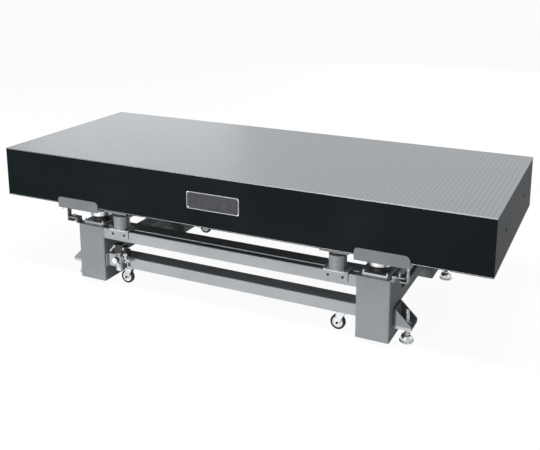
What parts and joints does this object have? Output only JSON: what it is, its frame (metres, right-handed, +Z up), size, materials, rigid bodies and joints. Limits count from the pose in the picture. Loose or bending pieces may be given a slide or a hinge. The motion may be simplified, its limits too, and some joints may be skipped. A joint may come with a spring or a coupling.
{
  "type": "optical table",
  "caption": "Flat tabletop with a grid of tapped holes on four air isolators, carried by a braced leg frame with levelling feet and casters.",
  "frame": {"origin": "floor level, under the middle of the tabletop", "axes": "+X along the tabletop's length, to the right as seen from the front; +Y to the back; +Z up"},
  "size_m": [3, 1.212, 0.8],
  "materials": {
    "ground_steel": "fine ground, matt",
    "skin_steel": "plain sheet",
    "black_paint": "satin black",
    "plate_aluminium": "satin, dark sunk field",
    "grey_paint": "satin powder coat",
    "dark_steel": "blackened",
    "rubber": "matt",
    "bright_aluminium": "turned",
    "zinc": "zinc plated",
    "chrome": "bright",
    "tyre": "matt black tread, pale disc",
    "black_plastic": "matt",
    "white_plastic": "gloss"
  },
  "bodies": {
    "frame": {"top_plate": "ground_steel", "bottom_plate": "skin_steel", "front_side_panel": "black_paint", "rear_side_panel": "black_paint", "left_end_panel": "black_paint", "right_end_panel": "black_paint", "nameplate": "plate_aluminium", "leg_front_left": "grey_paint", "leg_front_right": "grey_paint", "leg_rear_left": "grey_paint", "leg_rear_right": "grey_paint", "upper_rail_front": "grey_paint", "upper_rail_rear": "grey_paint", "lower_rail_front": "grey_paint", "lower_rail_rear": "grey_paint", "upper_beam_left": "grey_paint", "upper_beam_right": "grey_paint", "lower_beam_left": "grey_paint", "lower_beam_right": "grey_paint", "isolator_clamps": "dark_steel", "isolator_diaphragms": "rubber", "isolator_pistons": "bright_aluminium", "locating_bracket_front_left": "grey_paint", "locating_bracket_front_right": "grey_paint", "locating_bracket_rear_left": "grey_paint", "locating_bracket_rear_right": "grey_paint", "lift_hooks": "dark_steel", "stop_tongues": "grey_paint", "post_brackets": "grey_paint", "support_posts": "grey_paint", "post_pads": "rubber", "bearing_plates": "dark_steel", "foot_bracket_front_left": "grey_paint", "foot_bracket_front_right": "grey_paint", "foot_bracket_rear_left": "grey_paint", "foot_bracket_rear_right": "grey_paint", "foot_lock_nuts": "zinc", "caster_plates": "zinc", "air_bracket": "grey_paint", "filter_regulator": "black_plastic", "pressure_gauge": "white_plastic", "air_valve": "chrome", "pilot_valve": "black_plastic"},
    "foot_front_left": {"levelling_foot_front_left": "chrome"},
    "foot_front_right": {"levelling_foot_front_right": "chrome"},
    "foot_rear_left": {"levelling_foot_rear_left": "chrome"},
    "foot_rear_right": {"levelling_foot_rear_right": "chrome"},
    "swivel_front_left": {"caster_fork_front_left": "chrome"},
    "wheel_front_left": {"caster_wheel_front_left": "tyre"},
    "swivel_front_right": {"caster_fork_front_right": "chrome"},
    "wheel_front_right": {"caster_wheel_front_right": "tyre"},
    "swivel_rear_left": {"caster_fork_rear_left": "chrome"},
    "wheel_rear_left": {"caster_wheel_rear_left": "tyre"},
    "swivel_rear_right": {"caster_fork_rear_right": "chrome"},
    "wheel_rear_right": {"caster_wheel_rear_right": "tyre"}
  },
  "joints": [
    {"name": "foot_screw_front_left", "type": "slide", "parent": "frame", "child": "foot_front_left", "axis": [0, 0, 1], "range_m": [-0.015, 0.015]},
    {"name": "foot_screw_front_right", "type": "slide", "parent": "frame", "child": "foot_front_right", "axis": [0, 0, 1], "range_m": [-0.015, 0.015]},
    {"name": "foot_screw_rear_left", "type": "slide", "parent": "frame", "child": "foot_rear_left", "axis": [0, 0, 1], "range_m": [-0.015, 0.015]},
    {"name": "foot_screw_rear_right", "type": "slide", "parent": "frame", "child": "foot_rear_right", "axis": [0, 0, 1], "range_m": [-0.015, 0.015]},
    {"name": "swivel_front_left", "type": "hinge", "parent": "frame", "child": "swivel_front_left", "pos_m": [-0.678, -0.474, 0.11], "axis": [0, 0, 1], "continuous": true},
    {"name": "wheel_spin_front_left", "type": "hinge", "parent": "swivel_front_left", "child": "wheel_front_left", "pos_m": [-0.698, -0.474, 0.0475], "axis": [0, 1, 0], "continuous": true},
    {"name": "swivel_front_right", "type": "hinge", "parent": "frame", "child": "swivel_front_right", "pos_m": [0.699, -0.474, 0.11], "axis": [0, 0, 1], "continuous": true},
    {"name": "wheel_spin_front_right", "type": "hinge", "parent": "swivel_front_right", "child": "wheel_front_right", "pos_m": [0.679, -0.474, 0.0475], "axis": [0, 1, 0], "continuous": true},
    {"name": "swivel_rear_left", "type": "hinge", "parent": "frame", "child": "swivel_rear_left", "pos_m": [-0.678, 0.474, 0.11], "axis": [0, 0, 1], "continuous": true},
    {"name": "wheel_spin_rear_left", "type": "hinge", "parent": "swivel_rear_left", "child": "wheel_rear_left", "pos_m": [-0.698, 0.474, 0.0475], "axis": [0, 1, 0], "continuous": true},
    {"name": "swivel_rear_right", "type": "hinge", "parent": "frame", "child": "swivel_rear_right", "pos_m": [0.699, 0.474, 0.11], "axis": [0, 0, 1], "continuous": true},
    {"name": "wheel_spin_rear_right", "type": "hinge", "parent": "swivel_rear_right", "child": "wheel_rear_right", "pos_m": [0.679, 0.474, 0.0475], "axis": [0, 1, 0], "continuous": true}
  ]
}
